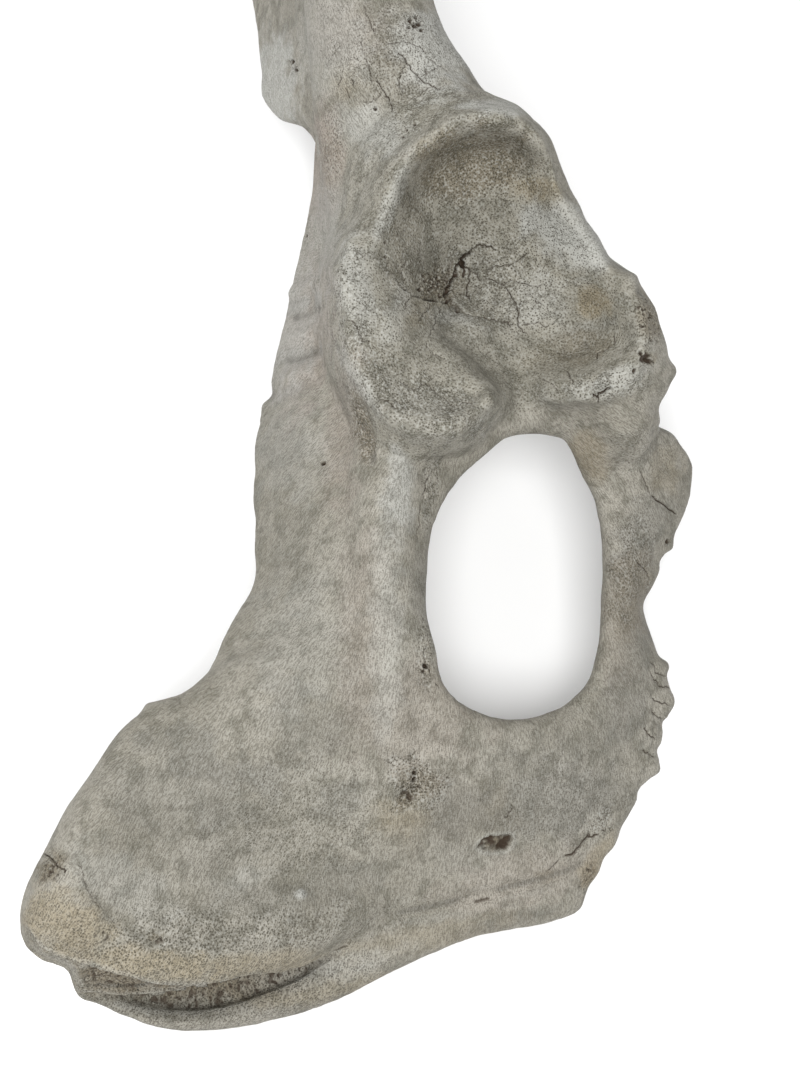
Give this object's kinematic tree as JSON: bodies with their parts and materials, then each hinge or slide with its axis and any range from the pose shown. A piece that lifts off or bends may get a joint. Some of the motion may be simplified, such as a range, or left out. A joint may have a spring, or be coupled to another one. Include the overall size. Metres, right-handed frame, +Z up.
{
  "type": "cow hip bone",
  "caption": "Right hip bone of a cow: fan-shaped wing, deep hip socket, large oval opening and broad seat bone, lying on its inner side.",
  "frame": {"origin": "middle of the bounding box's base, on the floor that the bone lies on", "axes": "+Z up; +Y along the bone's length, from the seat bone to the wing; +X towards the pelvis's midline"},
  "size_m": [0.1912, 0.4292, 0.2147],
  "materials": {
    "weathered_bone": "dry weathered bone, matte, finely grained"
  },
  "bodies": {
    "root": {"hip_bone": "weathered_bone"}
  },
  "joints": []
}
